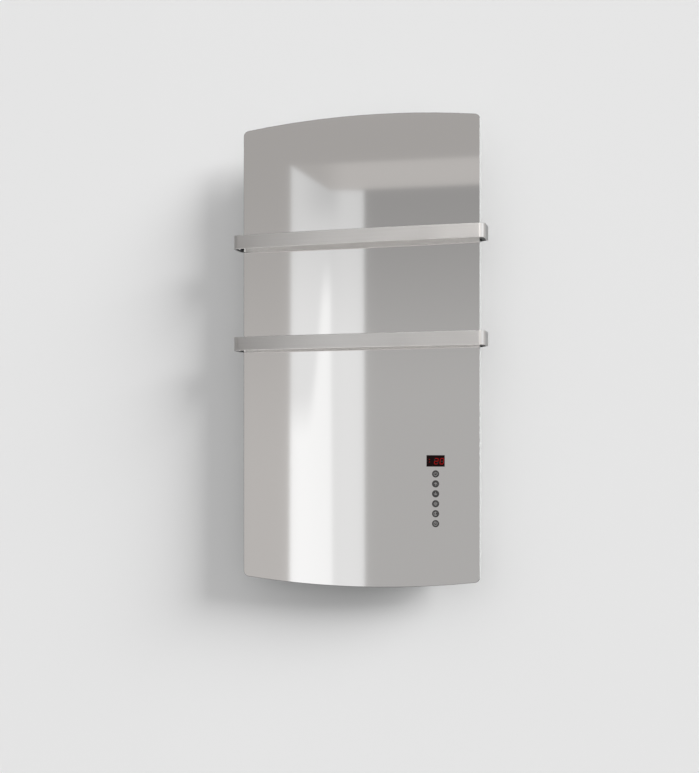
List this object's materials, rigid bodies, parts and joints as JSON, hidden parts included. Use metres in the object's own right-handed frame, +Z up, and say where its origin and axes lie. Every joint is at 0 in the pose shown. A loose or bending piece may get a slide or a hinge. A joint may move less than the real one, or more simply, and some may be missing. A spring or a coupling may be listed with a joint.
{
  "type": "mirror towel heater",
  "caption": "Wall-hung mirror-glass electric towel heater with bowed aluminium towel bars, touch keys, a digital display and a hook-on wall bracket.",
  "frame": {"origin": "middle of the four wall bolts, on the wall plane, level with the middle of the glass", "axes": "+Z up, +Y into the wall, so the mirror faces -Y; +X is the viewer's right"},
  "size_m": [0.5496, 0.1145, 1.004],
  "materials": {
    "mirror_glass": "silvered float glass with polished edges",
    "display_black": "gloss black window print",
    "key_grey": "dark grey print",
    "bar_aluminium": "satin anodised",
    "bracket_black": "fine moulded texture",
    "casing_paint": "mid grey powder coat",
    "bracket_zinc": "zinc plated",
    "screw_steel": "zinc plated",
    "sealant": "cured sealant",
    "film_brown": "heating film",
    "spreader_aluminium": "mill finish",
    "mat_white": "needled mineral mat",
    "housing_black": "moulded",
    "board_green": "solder resist",
    "foam_grey": "conductive foam",
    "part_black": "moulded",
    "core_steel": "lacquered core",
    "capacitor_blue": "sleeved can",
    "terminal_white": "moulded",
    "buffer_rubber": "soft rubber",
    "switch_black": "moulded"
  },
  "bodies": {
    "wall_bracket": {"wall_rail_left": "bracket_zinc", "wall_rail_right": "bracket_zinc", "upper_cross_bar": "bracket_zinc", "lower_cross_bar": "bracket_zinc", "rail_rivets": "screw_steel"},
    "heater": {"mirror_glass": "mirror_glass", "display_window": "display_black", "touch_key_marks": "key_grey", "upper_towel_bar": "bar_aluminium", "lower_towel_bar": "bar_aluminium", "upper_left_bar_bracket": "bracket_black", "upper_right_bar_bracket": "bracket_black", "lower_left_bar_bracket": "bracket_black", "lower_right_bar_bracket": "bracket_black", "bar_screws": "screw_steel", "bracket_screws": "screw_steel", "casing_shell": "casing_paint", "rear_cover": "casing_paint", "cover_screws": "screw_steel", "glass_seal": "sealant", "heating_film": "film_brown", "heat_spreader": "spreader_aluminium", "insulation_mat": "mat_white", "thermal_cutout": "spreader_aluminium", "control_housing": "housing_black", "display_board": "board_green", "led_display": "part_black", "touch_foam_pads": "foam_grey", "power_board": "board_green", "board_posts": "housing_black", "relay": "part_black", "transformer": "core_steel", "capacitor": "capacitor_blue", "fuse": "terminal_white", "terminal_block": "terminal_white", "earth_stud": "screw_steel", "gland_body": "housing_black", "gland_nut": "housing_black", "probe_grommet": "buffer_rubber", "room_probe": "screw_steel", "switch_body": "switch_black", "wall_buffers": "buffer_rubber"},
    "rocker": {"switch_rocker": "switch_black"}
  },
  "joints": [
    {"name": "lift_off", "type": "slide", "parent": "wall_bracket", "child": "heater", "axis": [0, 0, 1], "range_m": [0, 0.012]},
    {"name": "rocker_tilt", "type": "hinge", "parent": "heater", "child": "rocker", "pos_m": [0.219, -0.044, -0.412], "axis": [0, 1, 0], "range_deg": [-20, 0]}
  ]
}
